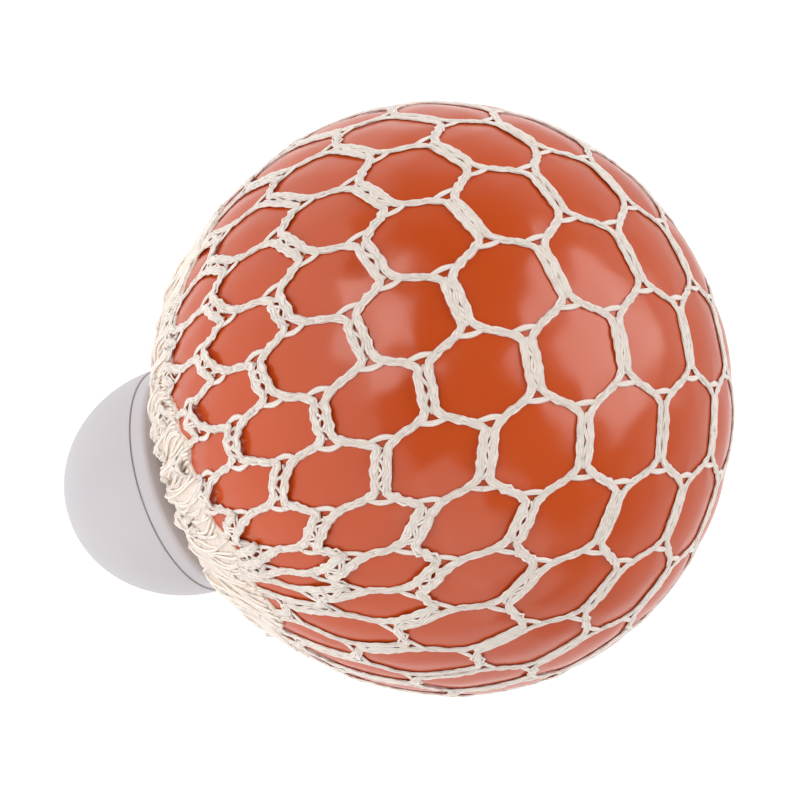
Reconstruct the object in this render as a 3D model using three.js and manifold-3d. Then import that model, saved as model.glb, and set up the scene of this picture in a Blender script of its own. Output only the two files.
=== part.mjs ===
// A knitted-net squeeze ball: a soft hollow ball in a hexagonal net, on a small domed cap.
// Millimetres, +Z up. The origin is the middle of the cap's flat foot, and the ball is above it.
import * as THREE from 'three';
import { mergeVertices } from 'three/addons/utils/BufferGeometryUtils.js';
import Module from 'manifold-3d';

const wasm = await Module();
wasm.setup();

// Ball skin: an ellipsoid, a little wider than it is tall, with a neck below.
const skinRadius = 29.2;
const skinPoleRadius = 27.6;
const skinWall = 2.0;
const neckRadius = 5.4;
const neckWall = 1.5;
const neckBelowCollar = 3.6; // how far the neck's end reaches below the collar
const fillingGap = 0.4;

// Knitted net: a hexagonal lattice of cells, drawn flat and wrapped down over the ball from its top.
const netGap = 0.45;
const netThickness = 0.6;
const netYarnWidth = 1.3;
const netStart = [0.7, -9.0]; // middle of the first cell on the flat sheet
const netColumnStep = [9.2, 3.8];
const netRowStep = [-1.0, -10.1];
const netReach = 60; // how far from the top, along the ball, the open cells go
const gatherAfterCells = 2; // how far past the open cells the gathered hem begins
const hemExtra = 0.1; // how much the hem is thicker than the net, on each side
const hemAboveNeckEnd = 1.5; // the hem stops this far short of the neck's end
const narrowestCell = 1.5; // cells with a smaller inner radius are knitted shut

// Cap: a flanged collar that the neck passes through, and a dome that closes it.
const clearance = 0.3;
const capRoom = 2.35; // between the tie and the dome's bore, where the spigot goes
const capWall = 1.5;
const collarBelowNet = 0.4; // from the hem to the collar's top
const collarThickness = 1.4;
const collarFillet = 0.5;
const rimInset = 0.1;
const partingGap = 0.3;
const domeHeight = 13.3;
const footRadius = 5.5;
const spigotLength = 2.8;
const spigotWall = 0.8;

// Tie round the net and the neck, and the plug in the neck.
const tieWall = 1.2;
const tieHeight = 1.7;
const plugStemLength = 7.0;
const plugLeadIn = 1.0; // the taper at the stem's tip
const plugFlangeRoom = 0.8; // between the flange's edge and the dome's bore
const plugFlangeThickness = 1.4;
const plugBossRadius = 4.2;
const plugBossLength = 2.0;
const postRadius = 2.4;
const socketRoof = 0.2; // how far the socket's end stays below the flange's top

const roundSegments = 36;

// What follows from the sizes above. Depths are measured down from the ball's centre.
const neckBore = neckRadius - neckWall;
const netMeanRadius = (skinRadius + skinPoleRadius) / 2 + netGap + netThickness;
const hemOffset = netGap + netThickness + hemExtra;
const netTubeInner = neckRadius + netGap;
const netTubeOuter = netTubeInner + netThickness;
const tieInner = netTubeOuter + clearance;
const capRadius = tieInner + tieWall + capRoom + capWall;
const collarHole = netTubeOuter + clearance + hemExtra;
const hemDepthAtHole = (skinPoleRadius + hemOffset) * Math.sqrt(1 - (collarHole / (skinRadius + hemOffset)) ** 2);
const collarTop = hemDepthAtHole + collarBelowNet;
const collarBottom = collarTop + collarThickness;
const neckEnd = collarBottom + neckBelowCollar;
const hemEnd = neckEnd - hemAboveNeckEnd;
const domeTop = collarBottom + partingGap;
const footDepth = domeTop + domeHeight * Math.sqrt(1 - (footRadius / capRadius) ** 2);
const domeBore = capRadius - capWall;
const domeBoreHeight = footDepth - domeTop - capWall;
const tieTop = collarBottom + clearance + hemExtra;
const spigotEnd = collarBottom + spigotLength;
const spigotOuter = boreRadiusAt(spigotEnd) - clearance;
const plugFlangeTop = neckEnd + clearance;
const plugFlangeBottom = plugFlangeTop + plugFlangeThickness;
const plugFlangeRadius = boreRadiusAt(plugFlangeBottom) - plugFlangeRoom;
const plugBottom = plugFlangeBottom + plugBossLength;
const socketRadius = postRadius + clearance;
const socketTop = plugFlangeTop + socketRoof;
const centreZ = footDepth;

// The radius of the dome's bore, a half ellipsoid, at a depth.
function boreRadiusAt(depth) {
  return domeBore * Math.sqrt(1 - ((depth - domeTop) / domeBoreHeight) ** 2);
}

// Colours and finishes.
const finishes = {
  tpr: { color: 0xc24a1e, roughness: 0.28, metalness: 0 },
  gel: { color: 0xd8672f, roughness: 0.4, metalness: 0 },
  yarn: { color: 0xebe1da, roughness: 0.85, metalness: 0 },
  cap: { color: 0xd6d0d2, roughness: 0.45, metalness: 0 },
  plug: { color: 0xe4e2dc, roughness: 0.5, metalness: 0 },
};

function named(name, geometry, finish) {
  const mesh = new THREE.Mesh(geometry, new THREE.MeshStandardMaterial(finishes[finish]));
  mesh.name = name;
  return mesh;
}

// Turns a profile of [radius, depth] points round Z. The profile is listed from its top, outside first,
// and starts and ends on the axis or is closed by repeating its first point.
function turned(profile) {
  const points = profile.map(([radius, depth]) => new THREE.Vector2(radius, centreZ - depth));
  points.reverse();
  const geometry = new THREE.LatheGeometry(points, roundSegments);
  geometry.rotateX(Math.PI / 2);
  return geometry;
}

// Points down an ellipsoid from polar angle start to end, both in radians from its top.
function ellipsoidArc(radius, poleRadius, start, end, steps) {
  const points = [];
  for (let k = 0; k <= steps; k++) {
    const angle = start + ((end - start) * k) / steps;
    const onAxis = Math.sin(angle) < 1e-9;
    points.push([onAxis ? 0 : radius * Math.sin(angle), -poleRadius * Math.cos(angle)]);
  }
  return points;
}

// The polar angle, in the lower half, where an ellipsoid narrows to a given radius.
function lowerAngleAt(radius, ellipsoidRadius) {
  return Math.PI - Math.asin(radius / ellipsoidRadius);
}

function ballSkin() {
  const innerRadius = skinRadius - skinWall;
  const innerPole = skinPoleRadius - skinWall;
  const outside = ellipsoidArc(skinRadius, skinPoleRadius, 0, lowerAngleAt(neckRadius, skinRadius), 16);
  const inside = ellipsoidArc(innerRadius, innerPole, lowerAngleAt(neckBore, innerRadius), 0, 10);
  return turned([...outside, [neckRadius, neckEnd], [neckBore, neckEnd], ...inside]);
}

function gelFilling() {
  const radius = skinRadius - skinWall - fillingGap;
  const poleRadius = skinPoleRadius - skinWall - fillingGap;
  return turned(ellipsoidArc(radius, poleRadius, 0, Math.PI, 10));
}

function smoothStep(from, to, value) {
  const t = Math.min(Math.max((value - from) / (to - from), 0), 1);
  return t * t * (3 - 2 * t);
}

// Where a point of the flat sheet lies on the ball: its distance from the top and its direction in
// degrees. The sheet stretches a little as it goes down, and slides round towards two gathers.
function wrapped([x, y]) {
  const flat = Math.hypot(x, y);
  const turn = (Math.atan2(y, x) * 180) / Math.PI;
  const slide = Math.min(18 * (flat / 56) ** 2.8, 21);
  const toFront = smoothStep(-78, -35, turn) * (1 - smoothStep(-15, 70, turn));
  const toBack = smoothStep(40, 115, turn) * (1 - smoothStep(120, 163, turn));
  return { down: flat + 3.4 * (flat / 60) ** 3, turn: turn + slide * (toBack - toFront) };
}

function onBall(flatPoint, offset) {
  const { down, turn } = wrapped(flatPoint);
  const polar = down / netMeanRadius;
  const direction = (turn * Math.PI) / 180;
  const across = (skinRadius + offset) * Math.sin(polar);
  const up = (skinPoleRadius + offset) * Math.cos(polar);
  return new THREE.Vector3(across * Math.cos(direction), across * Math.sin(direction), centreZ + up);
}

// One cell of the lattice: its six corners are pulled in by half a yarn's width.
const neighbours = [[1, 0], [1, 1], [0, 1], [-1, 0], [-1, -1], [0, -1]];

function flatCentre(column, row) {
  const x = netStart[0] + column * netColumnStep[0] + row * netRowStep[0];
  const y = netStart[1] + column * netColumnStep[1] + row * netRowStep[1];
  return [x, y];
}

function makeCell(column, row) {
  const centre = flatCentre(column, row);
  const around = neighbours.map(([c, r]) => flatCentre(column + c, row + r));
  const corners = around.map((first, k) => {
    const second = around[(k + 1) % 6];
    return [(centre[0] + first[0] + second[0]) / 3, (centre[1] + first[1] + second[1]) / 3];
  });
  const middle = onBall(centre, netGap);
  const solid = corners.map((corner) => onBall(corner, netGap));
  let innerRadius = Infinity;
  for (let k = 0; k < 6; k++) {
    const side = new THREE.Line3(solid[k], solid[(k + 1) % 6]);
    const nearest = side.closestPointToPoint(middle, true, new THREE.Vector3());
    innerRadius = Math.min(innerRadius, nearest.distanceTo(middle));
  }
  const share = Math.max(1 - netYarnWidth / 2 / innerRadius, 0.3);
  const hole = corners.map(([x, y]) => [
    centre[0] + (x - centre[0]) * share,
    centre[1] + (y - centre[1]) * share,
  ]);
  const kept = wrapped(centre).down < netReach;
  return { hole, kept, open: kept && innerRadius > narrowestCell };
}

// The open lattice as one closed body: flat faces for the yarn crossings and walls, an inner copy of
// them, and side walls wherever a face has no neighbour.
function netLattice() {
  const cells = new Map();
  const span = 14;
  const key = (column, row) => `${column} ${row}`;
  for (let column = -span; column <= span; column++) {
    for (let row = -span; row <= span; row++) {
      cells.set(key(column, row), makeCell(column, row));
    }
  }
  const faces = [];
  for (let column = 1 - span; column < span; column++) {
    for (let row = 1 - span; row < span; row++) {
      const cell = (k) => {
        const [c, r] = neighbours[(k + 6) % 6];
        return { id: key(column + c, row + r), kept: cells.get(key(column + c, row + r)).kept };
      };
      const self = { id: key(column, row), kept: cells.get(key(column, row)).kept };
      for (const k of [0, 1]) {
        const first = cell(k);
        const second = cell(k + 1);
        if (self.kept || first.kept || second.kept) {
          faces.push([[self.id, k], [first.id, (k + 2) % 6], [second.id, (k + 4) % 6]]);
        }
      }
      for (const k of [0, 1, 2]) {
        const other = cell(k);
        if (self.kept || other.kept) {
          const before = (k + 5) % 6;
          faces.push([[self.id, before], [other.id, (k + 3) % 6], [other.id, (k + 2) % 6], [self.id, k]]);
        }
      }
      if (self.kept && !cells.get(self.id).open) {
        faces.push([0, 1, 2, 3, 4, 5].map((k) => [self.id, k]));
      }
    }
  }
  return closedShell(faces, ([id, k], offset) => onBall(cells.get(id).hole[k], offset));
}

// Gives a sheet of faces its thickness. Faces are listed clockwise as seen from outside.
function closedShell(faces, place) {
  const numbers = new Map();
  const outer = [];
  const inner = [];
  const number = (corner) => {
    const id = corner.join(' ');
    if (!numbers.has(id)) {
      numbers.set(id, numbers.size);
      outer.push(place(corner, netGap + netThickness));
      inner.push(place(corner, netGap));
    }
    return numbers.get(id);
  };
  const loops = faces.map((face) => face.map(number).reverse());
  const count = outer.length;
  const sides = new Set();
  const triangles = [];
  for (const loop of loops) {
    for (let k = 0; k < loop.length; k++) {
      sides.add(`${loop[k]} ${loop[(k + 1) % loop.length]}`);
    }
    for (let k = 1; k < loop.length - 1; k++) {
      triangles.push(loop[0], loop[k], loop[k + 1]);
      triangles.push(count + loop[0], count + loop[k + 1], count + loop[k]);
    }
  }
  for (const side of sides) {
    const [from, to] = side.split(' ').map(Number);
    if (!sides.has(`${to} ${from}`)) {
      triangles.push(from, count + from, count + to);
      triangles.push(from, count + to, to);
    }
  }
  const geometry = new THREE.BufferGeometry().setFromPoints([...outer, ...inner]);
  geometry.setIndex(triangles);
  return geometry;
}

// The gathered hem: it follows the underside of the ball to the neck, then goes down the neck.
function netHem() {
  const innerOffset = netGap - hemExtra;
  const start = (netReach + gatherAfterCells) / netMeanRadius;
  const outerRadius = skinRadius + hemOffset;
  const innerRadius = skinRadius + innerOffset;
  const outerEnd = lowerAngleAt(netTubeOuter, outerRadius);
  const innerEnd = lowerAngleAt(netTubeInner, innerRadius);
  const outside = ellipsoidArc(outerRadius, skinPoleRadius + hemOffset, start, outerEnd, 5);
  const inside = ellipsoidArc(innerRadius, skinPoleRadius + innerOffset, innerEnd, start, 5);
  const profile = [...outside, [netTubeOuter, hemEnd], [netTubeInner, hemEnd], ...inside];
  return turned([...profile, profile[0]]);
}

function toSolid(geometry) {
  const bare = geometry.clone();
  bare.deleteAttribute('normal');
  bare.deleteAttribute('uv');
  const merged = mergeVertices(bare, 1e-5);
  const vertProperties = new Float32Array(merged.attributes.position.array);
  const triVerts = new Uint32Array(merged.index.array);
  return new wasm.Manifold(new wasm.Mesh({ numProp: 3, vertProperties, triVerts }));
}

function toGeometry(solid) {
  const mesh = solid.getMesh();
  const geometry = new THREE.BufferGeometry();
  geometry.setAttribute('position', new THREE.BufferAttribute(mesh.vertProperties, 3));
  geometry.setIndex(new THREE.BufferAttribute(mesh.triVerts, 1));
  geometry.computeVertexNormals();
  return geometry;
}

function meshNet() {
  return toGeometry(toSolid(netLattice()).add(toSolid(netHem())));
}

function netTie() {
  const outer = tieInner + tieWall;
  const bottom = tieTop + tieHeight;
  return turned([[outer, tieTop], [outer, bottom], [tieInner, bottom], [tieInner, tieTop], [outer, tieTop]]);
}

// A stopper in the neck's bore, with a flange under the neck's end and a socket for the cap's post.
function neckPlug() {
  const stem = neckBore - clearance;
  const stemTop = plugFlangeTop - plugStemLength;
  return turned([
    [0, stemTop],
    [stem - plugLeadIn, stemTop],
    [stem, stemTop + 1.5 * plugLeadIn],
    [stem, plugFlangeTop],
    [plugFlangeRadius, plugFlangeTop],
    [plugFlangeRadius, plugFlangeBottom],
    [plugBossRadius, plugFlangeBottom],
    [plugBossRadius, plugBottom],
    [socketRadius, plugBottom],
    [socketRadius, socketTop],
    [0, socketTop],
  ]);
}

// The collar's rim is the bright band at the cap's mouth; its spigot centres the dome.
function capCollar() {
  const rim = capRadius - rimInset;
  const fillet = [];
  for (let k = 0; k <= 4; k++) {
    const angle = (k * Math.PI) / 8;
    const across = rim - collarFillet + collarFillet * Math.sin(angle);
    fillet.push([across, collarTop + collarFillet - collarFillet * Math.cos(angle)]);
  }
  const spigotInner = spigotOuter - spigotWall;
  const profile = [
    [collarHole, collarTop],
    ...fillet,
    [rim, collarBottom],
    [spigotOuter, collarBottom],
    [spigotOuter, spigotEnd],
    [spigotInner, spigotEnd],
    [spigotInner, collarBottom],
    [collarHole, collarBottom],
  ];
  return turned([...profile, profile[0]]);
}

// The dome is a half ellipsoid with a small flat foot, and a post inside that enters the plug's socket.
function domeCap() {
  const outside = [];
  const inside = [];
  const steps = 7;
  const footAngle = Math.acos(footRadius / capRadius);
  const postAngle = Math.acos(postRadius / domeBore);
  for (let k = 0; k <= steps; k++) {
    const outer = (footAngle * k) / steps;
    const inner = postAngle * (1 - k / steps);
    outside.push([capRadius * Math.cos(outer), domeTop + domeHeight * Math.sin(outer)]);
    inside.push([domeBore * Math.cos(inner), domeTop + domeBoreHeight * Math.sin(inner)]);
  }
  const postTop = socketTop + clearance;
  const profile = [...outside, [0, footDepth], [0, postTop], [postRadius, postTop], ...inside];
  return turned([...profile, profile[0]]);
}

const squeezeBall = new THREE.Group();
squeezeBall.add(
  named('dome_cap', domeCap(), 'cap'),
  named('cap_collar', capCollar(), 'cap'),
  named('neck_plug', neckPlug(), 'plug'),
  named('net_tie', netTie(), 'plug'),
  named('ball_skin', ballSkin(), 'tpr'),
  named('gel_filling', gelFilling(), 'gel'),
  named('mesh_net', meshNet(), 'yarn'),
);

export default squeezeBall;
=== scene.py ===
# A squeeze ball in a knitted net, standing on its domed cap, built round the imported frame. All lengths
# are in metres.
import math
import bmesh
import bpy
import numpy as np
from mathutils import Matrix, Vector, kdtree


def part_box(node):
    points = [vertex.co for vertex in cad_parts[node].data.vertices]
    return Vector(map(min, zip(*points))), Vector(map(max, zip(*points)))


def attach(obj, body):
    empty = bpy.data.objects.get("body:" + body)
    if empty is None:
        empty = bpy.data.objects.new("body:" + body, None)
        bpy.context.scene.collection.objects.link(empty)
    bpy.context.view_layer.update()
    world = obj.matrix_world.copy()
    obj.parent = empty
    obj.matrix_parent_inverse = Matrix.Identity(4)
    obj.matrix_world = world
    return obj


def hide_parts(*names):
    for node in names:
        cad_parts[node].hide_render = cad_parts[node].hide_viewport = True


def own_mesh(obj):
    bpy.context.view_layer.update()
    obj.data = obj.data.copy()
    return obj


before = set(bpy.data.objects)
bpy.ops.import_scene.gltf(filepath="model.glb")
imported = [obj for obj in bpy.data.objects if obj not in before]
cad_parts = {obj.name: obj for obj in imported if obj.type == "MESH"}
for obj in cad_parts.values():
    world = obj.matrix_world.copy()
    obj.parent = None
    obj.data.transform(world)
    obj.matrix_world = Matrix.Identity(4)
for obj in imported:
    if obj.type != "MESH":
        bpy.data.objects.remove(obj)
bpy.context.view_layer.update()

# ---------------------------------------------------------------- camera
# A long-lens product shot: the ball's axis leans towards the lens and is rolled over to the right.
filling_low, filling_high = (Vector(corner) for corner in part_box("gel_filling"))
ball_centre = (filling_low + filling_high) / 2
view_lean = math.radians(24.0)
view_roll = math.radians(17.5)
view_distance = 0.5
view_width = 0.08
ball_off_centre = (0.0047, 0.00015)
to_lens = Vector((0, -math.cos(view_lean), math.sin(view_lean)))
axis_seen = (Vector((0, 0, 1)) - math.sin(view_lean) * to_lens) / math.cos(view_lean)
right = math.cos(view_roll) * axis_seen + math.sin(view_roll) * Vector((1, 0, 0))
up = math.sin(view_roll) * axis_seen - math.cos(view_roll) * Vector((1, 0, 0))
aim = ball_centre - ball_off_centre[0] * right - ball_off_centre[1] * up
camera_data = bpy.data.cameras.new("camera")
camera_data.sensor_width = 36
camera_data.lens = 36 * view_distance / view_width
camera_data.clip_start = 0.01
camera = bpy.data.objects.new("camera", camera_data)
turned = Matrix((right, up, to_lens)).transposed().to_4x4()
camera.matrix_world = Matrix.Translation(aim + view_distance * to_lens) @ turned
bpy.context.scene.collection.objects.link(camera)
bpy.context.scene.camera = camera
bpy.context.scene.view_settings.view_transform = "Standard"

# ---------------------------------------------------------------- floor and lights
# A white sweep lit from all round, with two soft boxes beside the lens that show in the ball's gloss,
# and two wide fills below and to the left. Only a trace of shadow falls on it.
bpy.ops.object.select_all(action="DESELECT")
bpy.ops.mesh.primitive_plane_add(size=12, location=(0, 0, -0.0003))
floor = bpy.context.object
floor.name = "floor"
floor_paint = bpy.data.materials.new("white_sweep")
floor_paint.use_nodes = True
nodes, links = floor_paint.node_tree.nodes, floor_paint.node_tree.links
nodes.clear()
glow = nodes.new("ShaderNodeEmission")
glow.inputs["Color"].default_value = (1, 1, 1, 1)
glow.inputs["Strength"].default_value = 0.95
matt = nodes.new("ShaderNodeBsdfDiffuse")
matt.inputs["Color"].default_value = (0.25, 0.25, 0.25, 1)
together = nodes.new("ShaderNodeAddShader")
output = nodes.new("ShaderNodeOutputMaterial")
links.new(glow.outputs[0], together.inputs[0])
links.new(matt.outputs[0], together.inputs[1])
links.new(together.outputs[0], output.inputs["Surface"])
floor.data.materials.append(floor_paint)

world = bpy.data.worlds.new("studio")
bpy.context.scene.world = world
world.use_nodes = True
nodes, links = world.node_tree.nodes, world.node_tree.links
nodes.clear()
seen = nodes.new("ShaderNodeBackground")
seen.inputs["Color"].default_value = (1, 1, 1, 1)
seen.inputs["Strength"].default_value = 1.0
lit = nodes.new("ShaderNodeBackground")
lit.inputs["Color"].default_value = (1.0, 0.99, 0.98, 1)
direction = nodes.new("ShaderNodeTexCoord")
towards = nodes.new("ShaderNodeVectorMath")
towards.operation = "DOT_PRODUCT"
towards.inputs[1].default_value = to_lens
fade = nodes.new("ShaderNodeMapRange")
fade.interpolation_type = "SMOOTHSTEP"
fade.inputs["From Min"].default_value = -0.55
fade.inputs["From Max"].default_value = 0.45
fade.inputs["To Min"].default_value = 0.80
fade.inputs["To Max"].default_value = 0.15
links.new(direction.outputs["Generated"], towards.inputs[0])
links.new(towards.outputs["Value"], fade.inputs["Value"])
links.new(fade.outputs["Result"], lit.inputs["Strength"])
path = nodes.new("ShaderNodeLightPath")
choose = nodes.new("ShaderNodeMixShader")
output = nodes.new("ShaderNodeOutputWorld")
links.new(path.outputs["Is Camera Ray"], choose.inputs["Fac"])
links.new(lit.outputs[0], choose.inputs[1])
links.new(seen.outputs[0], choose.inputs[2])
links.new(choose.outputs[0], output.inputs["Surface"])


def soft_box(name, aside, above, ahead, width, height, watts, tint=(1, 1, 1)):
    light = bpy.data.lights.new(name, "AREA")
    light.shape = "RECTANGLE"
    light.size = width
    light.size_y = height
    light.energy = watts
    light.color = tint
    box = bpy.data.objects.new(name, light)
    spot = ball_centre + aside * right + above * up + ahead * to_lens
    facing = (ball_centre - spot).to_track_quat("-Z", "Y").to_matrix().to_4x4()
    box.matrix_world = Matrix.Translation(spot) @ facing
    bpy.context.scene.collection.objects.link(box)
    return box


soft_box("right_panel", 0.44, 0.17, 0.16, 0.44, 0.48, 1.9)
soft_box("left_panel", -0.24, 0.26, 0.44, 0.40, 0.32, 1.35, (1, 0.99, 0.97))
soft_box("low_fill", 0.16, -0.62, 0.46, 1.0, 0.5, 1.9, (1, 0.98, 0.96))
soft_box("side_fill", -0.75, 0.05, 0.35, 0.7, 0.8, 0.5)


# ---------------------------------------------------------------- cap dome
# The cap is a half egg of satin white plastic, injection moulded with a small flat that it stands on.
# A post inside it enters the neck plug, and its mouth slips over the collar's spigot.
dome_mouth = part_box("dome_cap")[1][2]
cap_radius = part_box("dome_cap")[1][0]
foot_radius = 0.0055
cap_wall = 0.0015
post_radius = 0.0024
post_foot = 0.001
post_height = dome_mouth - 0.0045
dome_height = dome_mouth / math.sqrt(1 - (foot_radius / cap_radius) ** 2)
bpy.ops.object.select_all(action="DESELECT")
bpy.ops.mesh.primitive_uv_sphere_add(segments=128, ring_count=96, radius=1, location=(0, 0, dome_mouth))
dome = bpy.context.object
dome.name = "cap_dome"
dome.scale = (cap_radius, cap_radius, dome_height)
bpy.ops.object.transform_apply(location=True, rotation=True, scale=True)
bpy.ops.object.mode_set(mode="EDIT")
bpy.ops.mesh.select_all(action="SELECT")
bpy.ops.mesh.bisect(plane_co=(0, 0, dome_mouth), plane_no=(0, 0, 1), clear_outer=True)
bpy.ops.mesh.select_all(action="SELECT")
bpy.ops.mesh.bisect(plane_co=(0, 0, 0), plane_no=(0, 0, 1), clear_inner=True, use_fill=True)
bpy.ops.mesh.inset(thickness=0.0006)
bpy.ops.mesh.select_all(action="SELECT")
bpy.ops.mesh.normals_make_consistent(inside=False)
bpy.ops.object.mode_set(mode="OBJECT")
wall = dome.modifiers.new("wall", "SOLIDIFY")
wall.thickness = cap_wall
wall.offset = -1
bpy.ops.object.modifier_apply(modifier="wall")
edges = dome.modifiers.new("soft_edges", "BEVEL")
edges.width = 0.00022
edges.segments = 3
edges.limit_method = "ANGLE"
edges.angle_limit = math.radians(40)
bpy.ops.object.modifier_apply(modifier="soft_edges")
bpy.ops.object.mode_set(mode="EDIT")
bpy.ops.mesh.select_all(action="DESELECT")
bpy.ops.mesh.primitive_cylinder_add(
    vertices=48,
    radius=post_radius,
    depth=post_height,
    location=(0, 0, post_foot + post_height / 2),
)
bpy.ops.mesh.select_all(action="DESELECT")
bpy.ops.object.mode_set(mode="OBJECT")
bpy.ops.object.shade_smooth_by_angle(angle=math.radians(35))

satin = bpy.data.materials.new("pale_satin_plastic")
satin.use_nodes = True
nodes, links = satin.node_tree.nodes, satin.node_tree.links
shader = nodes["Principled BSDF"]
place = nodes.new("ShaderNodeTexCoord")
clouds = nodes.new("ShaderNodeTexNoise")
clouds.inputs["Scale"].default_value = 90
clouds.inputs["Detail"].default_value = 4
tone = nodes.new("ShaderNodeValToRGB")
tone.color_ramp.elements[0].position = 0.3
tone.color_ramp.elements[0].color = (0.575, 0.545, 0.572, 1)
tone.color_ramp.elements[1].position = 0.7
tone.color_ramp.elements[1].color = (0.610, 0.580, 0.602, 1)
sheen_spots = nodes.new("ShaderNodeMapRange")
sheen_spots.inputs["To Min"].default_value = 0.38
sheen_spots.inputs["To Max"].default_value = 0.50
grain = nodes.new("ShaderNodeTexNoise")
grain.inputs["Scale"].default_value = 2600
grain.inputs["Detail"].default_value = 3
bump = nodes.new("ShaderNodeBump")
bump.inputs["Strength"].default_value = 0.06
bump.inputs["Distance"].default_value = 0.0001
links.new(place.outputs["Object"], clouds.inputs["Vector"])
links.new(place.outputs["Object"], grain.inputs["Vector"])
links.new(clouds.outputs["Fac"], tone.inputs["Fac"])
links.new(tone.outputs["Color"], shader.inputs["Base Color"])
links.new(clouds.outputs["Fac"], sheen_spots.inputs["Value"])
links.new(sheen_spots.outputs["Result"], shader.inputs["Roughness"])
links.new(grain.outputs["Fac"], bump.inputs["Height"])
links.new(bump.outputs["Normal"], shader.inputs["Normal"])
dome.data.materials.append(satin)
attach(dome, "base")
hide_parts("dome_cap")


# ---------------------------------------------------------------- cap collar
# A flanged ring of the same plastic. Its rounded rim is the bright band at the cap's mouth, and the
# thin spigot below it centres the dome and leaves a fine parting line.
collar_low, collar_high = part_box("cap_collar")
parting_gap = 0.00006
flange_bottom = dome_mouth + parting_gap
flange_thickness = collar_high[2] - flange_bottom
flange_radius = collar_high[0]
collar_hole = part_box("net_tie")[1][0] - 0.0011
spigot_wall = 0.0008
spigot_length = flange_bottom - collar_low[2]
bore_height = dome_mouth - cap_wall
spigot_clearance = 0.0003
spigot_depth = (spigot_length + parting_gap) / bore_height
spigot_radius = (cap_radius - cap_wall) * math.sqrt(1 - spigot_depth**2) - spigot_clearance


def pick_faces(test):
    # selects the faces of the piece in hand whose middle and normal pass a test
    bpy.ops.mesh.select_all(action="DESELECT")
    mesh = bmesh.from_edit_mesh(bpy.context.object.data)
    for face in mesh.faces:
        face.select_set(test(face.calc_center_median(), face.normal))
    bmesh.update_edit_mesh(bpy.context.object.data)


def pick_edges(test):
    bpy.ops.mesh.select_all(action="DESELECT")
    mesh = bmesh.from_edit_mesh(bpy.context.object.data)
    for edge in mesh.edges:
        edge.select_set(all(test(vert.co) for vert in edge.verts))
    bmesh.update_edit_mesh(bpy.context.object.data)


bpy.ops.object.select_all(action="DESELECT")
bpy.ops.mesh.primitive_cylinder_add(
    vertices=128,
    radius=flange_radius,
    depth=flange_thickness,
    location=(0, 0, flange_bottom + flange_thickness / 2),
)
collar = bpy.context.object
collar.name = "cap_collar_ring"
bpy.ops.object.transform_apply(location=True, rotation=True, scale=True)
bpy.ops.object.mode_set(mode="EDIT")
bpy.ops.mesh.select_mode(type="FACE")
pick_faces(lambda middle, normal: normal.z < -0.9)
bpy.ops.mesh.inset(thickness=flange_radius - spigot_radius)
bpy.ops.mesh.extrude_region_move(TRANSFORM_OT_translate={"value": (0, 0, -spigot_length)})
bpy.ops.mesh.inset(thickness=spigot_wall)
bpy.ops.mesh.extrude_region_move(TRANSFORM_OT_translate={"value": (0, 0, spigot_length)})
bpy.ops.mesh.inset(thickness=spigot_radius - spigot_wall - collar_hole)
bpy.ops.mesh.delete(type="FACE")
pick_faces(lambda middle, normal: normal.z > 0.9 and middle.z > collar_high[2] - 0.0001)
bpy.ops.mesh.inset(thickness=flange_radius - collar_hole)
bpy.ops.mesh.delete(type="FACE")
bpy.ops.mesh.select_mode(type="EDGE")
bpy.ops.mesh.select_all(action="DESELECT")
bpy.ops.mesh.select_non_manifold()
bpy.ops.mesh.bridge_edge_loops()
pick_edges(lambda place: place.z > collar_high[2] - 0.0001 and place.xy.length > flange_radius - 0.0001)
bpy.ops.mesh.bevel(offset=0.0005, segments=6, affect="EDGES")
bpy.ops.mesh.select_all(action="SELECT")
bpy.ops.mesh.normals_make_consistent(inside=False)
bpy.ops.object.mode_set(mode="OBJECT")
edges = collar.modifiers.new("soft_edges", "BEVEL")
edges.width = 0.00016
edges.segments = 2
edges.limit_method = "ANGLE"
edges.angle_limit = math.radians(50)
bpy.ops.object.modifier_apply(modifier="soft_edges")
bpy.ops.object.shade_smooth_by_angle(angle=math.radians(35))
collar.data.materials.append(satin)
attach(collar, "base")
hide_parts("cap_collar")


# ---------------------------------------------------------------- neck plug and net tie
# A milky stopper closes the ball's neck, and a split ring ties the net round it. Both sit inside the
# cap, moulded in the same soft plastic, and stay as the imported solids.
milky = bpy.data.materials.new("milky_plastic")
milky.use_nodes = True
nodes, links = milky.node_tree.nodes, milky.node_tree.links
shader = nodes["Principled BSDF"]
place = nodes.new("ShaderNodeTexCoord")
clouds = nodes.new("ShaderNodeTexNoise")
clouds.inputs["Scale"].default_value = 260
clouds.inputs["Detail"].default_value = 3
tone = nodes.new("ShaderNodeValToRGB")
tone.color_ramp.elements[0].color = (0.70, 0.69, 0.66, 1)
tone.color_ramp.elements[1].color = (0.80, 0.79, 0.76, 1)
bump = nodes.new("ShaderNodeBump")
bump.inputs["Strength"].default_value = 0.1
bump.inputs["Distance"].default_value = 0.0001
links.new(place.outputs["Object"], clouds.inputs["Vector"])
links.new(clouds.outputs["Fac"], tone.inputs["Fac"])
links.new(tone.outputs["Color"], shader.inputs["Base Color"])
links.new(clouds.outputs["Fac"], bump.inputs["Height"])
links.new(bump.outputs["Normal"], shader.inputs["Normal"])
shader.inputs["Roughness"].default_value = 0.5
for name in ("neck_plug", "net_tie"):
    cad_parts[name].data.materials.clear()
    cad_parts[name].data.materials.append(milky)


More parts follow.
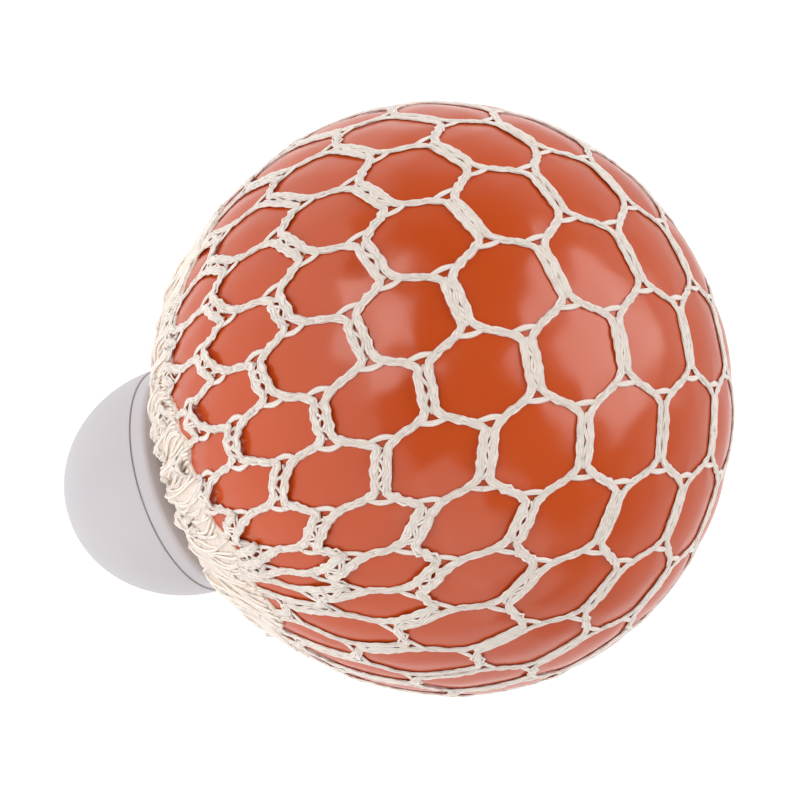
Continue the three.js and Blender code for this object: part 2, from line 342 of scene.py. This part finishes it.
# ---------------------------------------------------------------- how the net lies
# The net is one flat knit of hexagonal cells, wrapped down over the ball from its top. Going down, the
# sheet stretches a little and slides round towards two gathers, where the cells close up.
skin_low, skin_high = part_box("ball_skin")
skin_radius = skin_high[0]
skin_pole_radius = skin_high[2] - ball_centre.z
net_low, net_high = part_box("mesh_net")
net_mean_radius = ((net_high[0] - net_low[0]) / 2 + net_high[2] - ball_centre.z) / 2
first_cell = np.array((0.0007, -0.0090))
column_step = np.array((0.0092, 0.0038))
row_step = np.array((-0.0010, -0.0101))
wall_rest = np.linalg.norm(2 * column_step + row_step) / 3
net_reach = 0.070
yarn_height = 0.00058
yarn_step = 0.00042
pair_spacing = 0.00096


def smooth_step(start, end, value):
    t = np.clip((value - start) / (end - start), 0, 1)
    return t * t * (3 - 2 * t)


def wrapped(flat):
    reach = np.hypot(flat[:, 0], flat[:, 1])
    turn = np.degrees(np.arctan2(flat[:, 1], flat[:, 0]))
    slide = np.minimum(18 * (reach / 0.056) ** 2.8, 21)
    to_front = smooth_step(-78, -35, turn) * (1 - smooth_step(-15, 70, turn))
    to_back = smooth_step(40, 115, turn) * (1 - smooth_step(120, 163, turn))
    down = reach + 0.0034 * (reach / 0.06) ** 3
    return down, np.radians(turn + slide * (to_back - to_front))


def at_polar(polar, turn):
    across = skin_radius * np.sin(polar)
    rise = skin_pole_radius * np.cos(polar)
    return np.stack((across * np.cos(turn), across * np.sin(turn), ball_centre.z + rise), axis=-1)


def on_ball(flat):
    down, turn = wrapped(flat)
    return at_polar(down / net_mean_radius, turn)


def outwards(points):
    away = points - np.array(ball_centre)
    away = away / np.array((skin_radius**2, skin_radius**2, skin_pole_radius**2))
    return away / np.linalg.norm(away, axis=-1, keepdims=True)


def lifted(points, height):
    away = points - np.array(ball_centre)
    size = np.array((skin_radius, skin_radius, skin_pole_radius))
    level = np.linalg.norm(away / size, axis=-1, keepdims=True)
    return np.array(ball_centre) + away / level + outwards(points) * np.reshape(height, (-1, 1))


def dice(column, row, salt):
    # the same random numbers each time for the same cell
    seed = (column * 73856093) ^ (row * 19349663) ^ (salt * 83492791)
    return np.random.RandomState(seed & 0x7FFFFFFF)


def crossing(column, row, end):
    # where a double wall under a cell ends, on its left or its right, a little off its ideal place
    middle = first_cell + column * column_step + row * row_step
    reach = (row_step - column_step) / 3 if end == "left" else (column_step + 2 * row_step) / 3
    return middle + reach + dice(column, row, len(end)).uniform(-0.00028, 0.00028, 2)


# Each chain of stitches runs right across the net: along one cell it is paired with the chain above it,
# then it crosses alone, and along the next cell it is paired with the chain below it.
def chain_walls(chain):
    walls = []
    for step in range(-9, 10):
        for shift, side in ((0, 1), (1, -1)):
            column = chain + 2 * step + shift
            walls.append((crossing(column, step, "left"), crossing(column, step, "right"), side))
    return walls


def wall_frame(left, right):
    ends = on_ball(np.array((left, right)))
    length = np.linalg.norm(ends[1] - ends[0])
    along = (ends[1] - ends[0]) / length
    across = np.cross(outwards(ends.mean(axis=0)[None])[0], along)
    slack = min(max(1 - length / wall_rest, 0), 0.7)
    return ends, length, along, across, slack


def chain_stops(walls):
    # points of the route, each with the height that a slack wall puckers to, how far its yarns spread
    # and how much a slack single wall loops to the side
    stops = []
    for number, (left, right, side) in enumerate(walls):
        ends, length, along, across, slack = wall_frame(left, right)
        spread = 1 + 0.9 * slack
        for share, rise in ((0.03, 0.3), (0.32, 0.9), (0.68, 0.9), (0.97, 0.3)):
            spot = ends[0] + share * length * along + side * spread * pair_spacing / 2 * across
            stops.append((*spot, 0.0015 * slack * rise, spread, 0))
        if number + 1 < len(walls):
            following = walls[number + 1][0]
            thin = np.array([right + share * (following - right) for share in (0, 0.33, 0.67, 1)])
            spots = on_ball(thin)
            rest = np.linalg.norm(following - right)
            loose = min(max(1 - np.linalg.norm(spots[3] - spots[0]) / rest, 0), 0.6)
            for spot in spots[1:3]:
                stops.append((*spot, 0.0005 * loose, 1 + 0.4 * loose, loose))
    return np.array(stops)


def curved(stops, spacing):
    # a Catmull-Rom curve through the stops, sampled at about the given spacing
    before = np.vstack((2 * stops[0] - stops[1], stops[:-1]))
    after = np.vstack((stops[1:], 2 * stops[-1] - stops[-2]))
    pieces = []
    for k in range(len(stops) - 1):
        p0, p1, p2, p3 = before[k], stops[k], stops[k + 1], after[k + 1]
        count = max(int(round(np.linalg.norm((p2 - p1)[:3]) / spacing)), 1)
        t = (np.arange(count) / count)[:, None]
        bend = (2 * p0 - 5 * p1 + 4 * p2 - p3) * t**2 + (3 * p1 - p0 - 3 * p2 + p3) * t**3
        pieces.append(0.5 * (2 * p1 + (p2 - p0) * t + bend))
    return np.vstack(pieces + [stops[-1:]])


chains = []
for chain in range(-26, 27):
    walls = chain_walls(chain)
    near = [np.linalg.norm((left + right) / 2) < net_reach for left, right, _ in walls]
    if sum(near) < 2:
        continue
    first, last = near.index(True), len(near) - near[::-1].index(True)
    route = curved(chain_stops(walls[first:last]), yarn_step)
    points = lifted(route[:, :3], yarn_height + np.maximum(route[:, 3], 0))
    chains.append((chain, points, route[:, 4], np.maximum(route[:, 5], 0)))


# ---------------------------------------------------------------- ball skin
# A hollow ball of soft glossy rubber, dip moulded with a neck below. It presses out a little through
# every cell of the net, and the yarn sinks into it.
skin_wall = 0.002
neck_wall = 0.0015
neck_radius = 0.0054
skin_under_yarn = 0.00040
cell_bulge = 0.00034
bpy.ops.object.select_all(action="DESELECT")
bpy.ops.mesh.primitive_uv_sphere_add(segments=256, ring_count=168, radius=1, location=(0, 0, 0))
skin = bpy.context.object
skin.name = "squeeze_ball_skin"
net_points = np.vstack([points for _, points, _, _ in chains])
net_tree = kdtree.KDTree(len(net_points))
for number, point in enumerate(net_points):
    net_tree.insert(point, number)
net_tree.balance()
count = len(skin.data.vertices)
places = np.empty(count * 3)
skin.data.vertices.foreach_get("co", places)
places = places.reshape(-1, 3)
polar = np.arccos(np.clip(places[:, 2], -1, 1))
turn = np.arctan2(places[:, 1], places[:, 0])
neck_polar = math.pi - math.asin(neck_radius / skin_radius)
places = at_polar(np.minimum(polar, neck_polar), turn)
gaps = np.array([net_tree.find(point)[2] for point in places])
fill = 1 - (1 - np.clip((gaps - 0.0004) / 0.0040, 0, 1)) ** 2
free = 1 - smooth_step(2.3, 2.6, polar)
places += outwards(places) * ((skin_under_yarn + cell_bulge * fill) * free)[:, None]
down_neck = np.clip((polar - neck_polar) / (math.pi - neck_polar), 0, 1)
places[:, 2] += (skin_low[2] - at_polar(neck_polar, 0.0)[2]) * down_neck
skin.data.vertices.foreach_set("co", places.ravel())
on_neck = [int(number) for number in np.flatnonzero(polar > neck_polar)]
on_bulb = [int(number) for number in np.flatnonzero(polar <= neck_polar)]
thickness = skin.vertex_groups.new(name="wall_thickness")
thickness.add(on_bulb, 1.0, "REPLACE")
thickness.add(on_neck, neck_wall / skin_wall, "REPLACE")
bpy.ops.object.mode_set(mode="EDIT")
bpy.ops.mesh.select_mode(type="FACE")
pick_faces(lambda middle, normal: middle.z < skin_low[2] + 0.0006)
bpy.ops.mesh.delete(type="FACE")
bpy.ops.object.mode_set(mode="OBJECT")
wall = skin.modifiers.new("wall", "SOLIDIFY")
wall.thickness = skin_wall
wall.offset = -1
wall.vertex_group = "wall_thickness"
bpy.ops.object.modifier_apply(modifier="wall")
bpy.ops.object.shade_smooth()

rubber = bpy.data.materials.new("orange_soft_rubber")
rubber.use_nodes = True
nodes, links = rubber.node_tree.nodes, rubber.node_tree.links
shader = nodes["Principled BSDF"]
place = nodes.new("ShaderNodeTexCoord")
clouds = nodes.new("ShaderNodeTexNoise")
clouds.inputs["Scale"].default_value = 55
clouds.inputs["Detail"].default_value = 2
tone = nodes.new("ShaderNodeValToRGB")
tone.color_ramp.elements[0].position = 0.35
tone.color_ramp.elements[0].color = (0.525, 0.062, 0.004, 1)
tone.color_ramp.elements[1].position = 0.70
tone.color_ramp.elements[1].color = (0.570, 0.074, 0.009, 1)
smears = nodes.new("ShaderNodeTexNoise")
smears.inputs["Scale"].default_value = 140
smears.inputs["Detail"].default_value = 5
dulling = nodes.new("ShaderNodeMapRange")
dulling.inputs["To Min"].default_value = 0.17
dulling.inputs["To Max"].default_value = 0.30
grain = nodes.new("ShaderNodeTexNoise")
grain.inputs["Scale"].default_value = 1800
grain.inputs["Detail"].default_value = 2
bump = nodes.new("ShaderNodeBump")
bump.inputs["Strength"].default_value = 0.05
bump.inputs["Distance"].default_value = 0.0001
for texture in (clouds, smears, grain):
    links.new(place.outputs["Object"], texture.inputs["Vector"])
links.new(clouds.outputs["Fac"], tone.inputs["Fac"])
links.new(tone.outputs["Color"], shader.inputs["Base Color"])
links.new(smears.outputs["Fac"], dulling.inputs["Value"])
links.new(dulling.outputs["Result"], shader.inputs["Roughness"])
links.new(grain.outputs["Fac"], bump.inputs["Height"])
links.new(bump.outputs["Normal"], shader.inputs["Normal"])
shader.inputs["IOR"].default_value = 1.5
shader.inputs["Specular IOR Level"].default_value = 0.6
skin.data.materials.append(rubber)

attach(skin, "ball")
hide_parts("ball_skin")
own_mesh(skin)


# ---------------------------------------------------------------- gel filling
# A soft bead of clear orange gel fills the skin. It is poured in through the neck and has a few slow
# swells on its surface where it leaves the wall.
gel_low, gel_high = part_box("gel_filling")
bpy.ops.object.select_all(action="DESELECT")
bpy.ops.mesh.primitive_uv_sphere_add(segments=96, ring_count=64, radius=1, location=ball_centre)
gel = bpy.context.object
gel.name = "gel_core"
gel.scale = (gel_high[0], gel_high[0], (gel_high[2] - gel_low[2]) / 2)
bpy.ops.object.transform_apply(location=True, rotation=True, scale=True)
for vert in gel.data.vertices:
    swell = math.sin(vert.co.x * 260 + 1.0) * math.sin(vert.co.y * 230 + 0.4) * math.sin(vert.co.z * 210)
    vert.co -= vert.normal * 0.00015 * (1 + swell)
bpy.ops.object.shade_smooth()
jelly = bpy.data.materials.new("orange_gel")
jelly.use_nodes = True
nodes, links = jelly.node_tree.nodes, jelly.node_tree.links
shader = nodes["Principled BSDF"]
place = nodes.new("ShaderNodeTexCoord")
clouds = nodes.new("ShaderNodeTexNoise")
clouds.inputs["Scale"].default_value = 80
tone = nodes.new("ShaderNodeValToRGB")
tone.color_ramp.elements[0].color = (0.62, 0.12, 0.02, 1)
tone.color_ramp.elements[1].color = (0.74, 0.20, 0.05, 1)
links.new(place.outputs["Object"], clouds.inputs["Vector"])
links.new(clouds.outputs["Fac"], tone.inputs["Fac"])
links.new(tone.outputs["Color"], shader.inputs["Base Color"])
shader.inputs["Roughness"].default_value = 0.12
gel.data.materials.append(jelly)
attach(gel, "ball")
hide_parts("gel_filling")
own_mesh(gel)


# ---------------------------------------------------------------- net
# Off-white polyester yarn, warp-knitted. A chain is two yarns side by side with a third that weaves
# between them, about a millimetre wide. It is cut here into three pieces, one below the other.
strand_radius = 0.00015
strand_height = 0.00010
strand_spacing = 0.00025
core_width = 0.00028
core_height = 0.00013
weave_length = 0.0046
strand_sides = 4
link_reach = 0.0017


def tube(points, wide, high, sides):
    ahead = np.gradient(points, axis=0)
    ahead /= np.linalg.norm(ahead, axis=1, keepdims=True)
    beside = np.cross(ahead, outwards(points))
    beside /= np.linalg.norm(beside, axis=1, keepdims=True)
    normal = np.cross(beside, ahead)
    angles = np.arange(sides) * 2 * np.pi / sides
    round_beside = np.cos(angles)[None, :, None] * beside[:, None]
    round_normal = np.sin(angles)[None, :, None] * normal[:, None]
    ring = points[:, None] + np.reshape(wide, (-1, 1, 1)) * round_beside + high * round_normal
    number = np.arange(len(points) * sides).reshape(len(points), sides)
    here, there = number[:-1], number[1:]
    turned_here, turned_there = np.roll(here, -1, axis=1), np.roll(there, -1, axis=1)
    quads = np.stack((here, turned_here, turned_there, there), axis=2).reshape(-1, 4)
    caps = [number[0][::-1].tolist(), number[-1].tolist()]
    return ring.reshape(-1, 3), quads.tolist() + caps


def yarns_of(points, spread, loose, phase):
    # the yarns of one chain, each with its half width and half height
    ahead = np.gradient(points, axis=0)
    ahead /= np.linalg.norm(ahead, axis=1, keepdims=True)
    normal = outwards(points)
    beside = np.cross(ahead, normal)
    run = np.concatenate(([0], np.cumsum(np.linalg.norm(np.diff(points, axis=0), axis=1))))
    wander = 2 * np.sin(run / 0.0021 + phase)
    crinkle = 0.00025 * (spread - 1) * np.sin(run / 0.0013 * 2 * np.pi + wander)
    yield points + crinkle[:, None] * beside, core_width * spread, core_height
    for side in (-1, 1):
        ripple = 0.00005 * np.sin(run / 0.0016 * 2 * np.pi + 3 * np.sin(run / 0.0031 + phase) + side)
        knobs = 0.0011 * loose * np.maximum(np.sin(run / 0.0011 * 2 * np.pi + phase + side), 0) ** 2
        edge = side * (strand_spacing * spread + knobs) + ripple + crinkle
        yield points + edge[:, None] * beside, strand_radius, strand_height
    for way in (-1, 1):
        weave = way * np.sin(run / weave_length * 2 * np.pi + phase + 0.6 * way)
        offset = strand_spacing * spread * weave + crinkle
        rise = 0.00005 + 0.00004 * np.cos(run / weave_length * 4 * np.pi + way)
        yield points + offset[:, None] * beside + rise[:, None] * normal, strand_radius, strand_height


def knit_object(name, strands):
    verts, faces, start = [], [], 0
    for points, wide, high in strands:
        v, f = tube(points, wide, high, strand_sides)
        verts.append(v)
        faces.extend([[i + start for i in face] for face in f])
        start += len(v)
    mesh = bpy.data.meshes.new(name)
    mesh.from_pydata(np.vstack(verts).tolist(), [], faces)
    mesh.update()
    for face in mesh.polygons:
        face.use_smooth = True
    piece = bpy.data.objects.new(name, mesh)
    bpy.context.scene.collection.objects.link(piece)
    return piece


strands = []
for chain, points, spread, loose in chains:
    strands.extend(yarns_of(points, spread, loose, chain * 1.7))

# Laid-in yarns zigzag between the two chains of a double wall. At each end of the wall two yarns pass
# round the far side of the crossing, which leaves a small three-cornered hole.
for column in range(-13, 14):
    for row in range(-13, 14):
        left, right = crossing(column, row, "left"), crossing(column, row, "right")
        if np.linalg.norm((left + right) / 2) > net_reach:
            continue
        chance = dice(column, row, 11)
        ends, length, along, across, slack = wall_frame(left, right)
        share = np.linspace(0, 1, 15)
        for way in (1, -1):
            swing = way * (0.00013 + 0.0007 * slack) * np.sin(share * 3.4 * np.pi + chance.uniform(0, 6))
            spots = ends[0] + (share * length)[:, None] * along + swing[:, None] * across
            arch = 0.0015 * slack * np.sin(share * np.pi)
            strands.append((lifted(spots, yarn_height + 0.00006 + arch), strand_radius, strand_height))
        for here, away, routes in (
            (left, -1, ((column - 1, row - 1, "right"), (column - 1, row, "right"))),
            (right, 1, ((column + 1, row, "left"), (column + 1, row + 1, "left"))),
        ):
            middle = on_ball(here[None])[0]
            arms = []
            for other in routes:
                target = on_ball(crossing(*other)[None])[0] - middle
                arms.append(target / np.linalg.norm(target))
            for far, wide in ((0.00078, strand_radius), (0.00100, core_width * 0.8)):
                spots = [middle + arms[0] * link_reach * 1.5, middle + arms[0] * link_reach]
                spots += [middle + away * far * along]
                spots += [middle + arms[1] * link_reach, middle + arms[1] * link_reach * 1.5]
                path = lifted(curved(np.array(spots), yarn_step), yarn_height + 0.00006)
                strands.append((path, wide, strand_height))

net_levels = (ball_centre.z + 0.012, ball_centre.z - 0.007)
net_parts = {"net_crown": [], "net_belt": [], "net_skirt": []}
for path, wide, high in strands:
    level = (path[:, 2] < net_levels[0]).astype(int) + (path[:, 2] < net_levels[1]).astype(int)
    cuts = np.flatnonzero(np.diff(level)) + 1
    wide = np.broadcast_to(wide, len(path))
    for part in np.split(np.arange(len(path)), cuts):
        span = slice(part[0], min(part[-1] + 2, len(path)))
        if span.stop - span.start > 1:
            name = ("net_crown", "net_belt", "net_skirt")[level[part[0]]]
            net_parts[name].append((path[span], wide[span], high))

yarn = bpy.data.materials.new("cream_yarn")
yarn.use_nodes = True
nodes, links = yarn.node_tree.nodes, yarn.node_tree.links
shader = nodes["Principled BSDF"]
place = nodes.new("ShaderNodeTexCoord")
clouds = nodes.new("ShaderNodeTexNoise")
clouds.inputs["Scale"].default_value = 240
clouds.inputs["Detail"].default_value = 3
tone = nodes.new("ShaderNodeValToRGB")
tone.color_ramp.elements[0].position = 0.3
tone.color_ramp.elements[0].color = (0.985, 0.835, 0.735, 1)
tone.color_ramp.elements[1].position = 0.7
tone.color_ramp.elements[1].color = (0.995, 0.880, 0.785, 1)
fibres = nodes.new("ShaderNodeTexNoise")
fibres.inputs["Scale"].default_value = 4200
fibres.inputs["Detail"].default_value = 3
bump = nodes.new("ShaderNodeBump")
bump.inputs["Strength"].default_value = 0.35
bump.inputs["Distance"].default_value = 0.00006
links.new(place.outputs["Object"], clouds.inputs["Vector"])
links.new(place.outputs["Object"], fibres.inputs["Vector"])
links.new(clouds.outputs["Fac"], tone.inputs["Fac"])
links.new(tone.outputs["Color"], shader.inputs["Base Color"])
links.new(fibres.outputs["Fac"], bump.inputs["Height"])
links.new(bump.outputs["Normal"], shader.inputs["Normal"])
shader.inputs["Roughness"].default_value = 0.8
shader.inputs["Sheen Weight"].default_value = 0.25
shader.inputs["Subsurface Weight"].default_value = 0.35
shader.inputs["Subsurface Radius"].default_value = (1.0, 0.8, 0.7)
shader.inputs["Subsurface Scale"].default_value = 0.0006


def finish_net(piece):
    piece.data.materials.append(yarn)
    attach(piece, "ball")
    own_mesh(piece)


# In the flat knit the crown is a disc, and the belt and skirt are two rings laid out as strips. The
# reach of each cut is worked out, but nothing sizes the pieces by it.
crown_reach = net_mean_radius * math.acos((net_levels[0] - ball_centre.z) / skin_pole_radius)
belt_reach = net_mean_radius * math.acos((net_levels[1] - ball_centre.z) / skin_pole_radius)
reach = 0.0
for (name, parts), edge in zip(net_parts.items(), (crown_reach, belt_reach, net_reach)):
    piece = knit_object(name, parts)
    finish_net(piece)
    if reach == 0:
        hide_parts("mesh_net")
    reach = edge


# ---------------------------------------------------------------- gathered hem
# Under the ball the net's last rows are drawn together into a thick ruffled band, and its tail goes
# down through the collar, where the tie holds it on the neck. Loops of yarn stand out of its edge.
hem_columns = 640
hem_rows = 68
hem_thickness = 0.0004
tail_radius = 0.0061
tail_from = 0.92
end_polar = math.pi - math.asin(tail_radius / skin_radius)


def near_angle(turn, degrees, width):
    away = np.degrees(np.angle(np.exp(1j * (turn - math.radians(degrees)))))
    return np.exp(-((away / width) ** 2))


def hem_ground(turn, share):
    # where the band lies on the ball, from its first row (0) to the end of its tail (1)
    wander = 0.0006 * np.sin(9 * turn + 1.0) + 0.0005 * np.sin(23 * turn + 2.0 * np.sin(4 * turn))
    gathers = near_angle(turn, -64, 24) + near_angle(turn, 112, 26) + 2.2 * near_angle(turn, -155, 15)
    start_polar = (0.0676 + wander - 0.0040 * gathers) / net_mean_radius
    polar = start_polar + (end_polar - start_polar) * np.minimum(share / tail_from, 1)
    lean_over = 0.05 * np.sin(5 * turn + 8 * share)
    return at_polar(polar, turn + lean_over * (1 - share))


def hem_height(turn, share):
    swing = 43 * turn + 2.2 * np.sin(3 * turn + 1) + 1.5 * np.sin(7 * turn)
    ridge = (0.5 + 0.5 * np.sin(swing + 5 * share)) ** 1.3
    ridge += 0.5 * (0.5 + 0.5 * np.sin(2.3 * swing - 9 * share + 1))
    ruffle = smooth_step(0.05, 0.42, share) * (1 - smooth_step(0.50, 0.68, share))
    return 0.00070 + 0.0007 * ruffle * ridge


turn = np.linspace(0, 2 * np.pi, hem_columns, endpoint=False)[None, :]
share = np.linspace(0, 1, hem_rows)[:, None]
stitches = np.sin(140 * turn + 2 * np.sin(11 * share + 5 * turn))
stitches = stitches * np.sin(130 * share + 4 * np.sin(9 * turn))
height = hem_height(turn, share) + 0.00010 * stitches * (1 - smooth_step(0.55, 0.75, share))
ground = hem_ground(turn, share).reshape(-1, 3)
hem_out = lifted(ground, height.ravel())
hem_in = lifted(ground, height.ravel() - hem_thickness)
in_tail = (np.clip((share - tail_from) / (1 - tail_from), 0, 1) * np.ones_like(turn)).ravel()
hem_in[:, :2] *= 1 - 0.05 * np.minimum(4 * in_tail, 1)[:, None]
tail_drop = at_polar(end_polar, 0.0)[2] - net_low[2]
hem_out[:, 2] -= tail_drop * in_tail
hem_in[:, 2] -= tail_drop * in_tail
number = np.arange(hem_rows * hem_columns).reshape(hem_rows, hem_columns)
onward = np.roll(number, -1, axis=1)
outer = np.stack((number[:-1], number[1:], onward[1:], onward[:-1]), axis=2).reshape(-1, 4)
inner = outer[:, ::-1] + number.size
first, first_onward, last, last_onward = number[0], onward[0], number[-1], onward[-1]
first_edge = np.stack((first, first_onward, first_onward + number.size, first + number.size), axis=1)
last_edge = np.stack((last + number.size, last_onward + number.size, last_onward, last), axis=1)
faces = np.vstack((outer, inner, first_edge, last_edge))
mesh = bpy.data.meshes.new("net_hem")
mesh.from_pydata(np.vstack((hem_out, hem_in)).tolist(), [], faces.tolist())
mesh.update()
for face in mesh.polygons:
    face.use_smooth = True
hem = bpy.data.objects.new("net_hem", mesh)
bpy.context.scene.collection.objects.link(hem)
finish_net(hem)
# The band gets a darker copy of the yarn. This is painted shade, standing in for the shadow that the
# yarns of a real knit cast on one another, which the smooth sheet does not cast.
painted_shade_yarn = yarn.copy()
painted_shade_yarn.name = "cream_yarn_painted_shade"
painted_shade_tone = painted_shade_yarn.node_tree.nodes[tone.name].color_ramp
painted_shade_tone.elements[0].color = (0.80, 0.68, 0.59, 1)
painted_shade_tone.elements[1].color = (0.88, 0.76, 0.67, 1)
hem.data.materials[0] = painted_shade_yarn

# Yarns run down over the band, and little tufts of three loops stand along its edge.
hem_yarn_count = 300
tuft_count = 90
hem_yarns = []
chance = np.random.RandomState(7)
for number in range(hem_yarn_count):
    along = np.linspace(chance.uniform(-0.01, 0.05), 0.6, 30)
    wiggle = 0.012 * np.sin(along * chance.uniform(8, 16) + chance.uniform(0, 6))
    yarn_turn = 2 * math.pi * (number + chance.uniform(-0.4, 0.4)) / hem_yarn_count + wiggle
    height = hem_height(yarn_turn, along) + chance.uniform(0.00006, 0.00018)
    path = lifted(hem_ground(yarn_turn, along), height)
    hem_yarns.append((path, 1.1 * strand_radius, strand_radius))
for number in range(tuft_count):
    middle_turn = 2 * math.pi * (number + chance.uniform(-0.4, 0.4)) / tuft_count
    middle_polar = math.radians(chance.uniform(138, 149))
    width = chance.uniform(0.018, 0.034)
    reach = chance.uniform(0.01, 0.045)
    peak = chance.uniform(0.0002, 0.0006)
    base = 0.0006 + 0.0006 * smooth_step(math.radians(131), math.radians(142), middle_polar)
    t = np.linspace(0, 1, 10)
    for shift, size in ((0.5, 1), (0.40, 0.8), (0.6, 0.7)):
        arch_turn = middle_turn + size * width * (t - shift) * 2
        arch = at_polar(middle_polar + reach * size * np.sin(t * np.pi), arch_turn)
        path = lifted(arch, base + size * peak * np.sin(t * np.pi))
        hem_yarns.append((path, 1.3 * strand_radius, 1.2 * strand_radius))
loops = knit_object("net_hem_yarns", hem_yarns)
finish_net(loops)
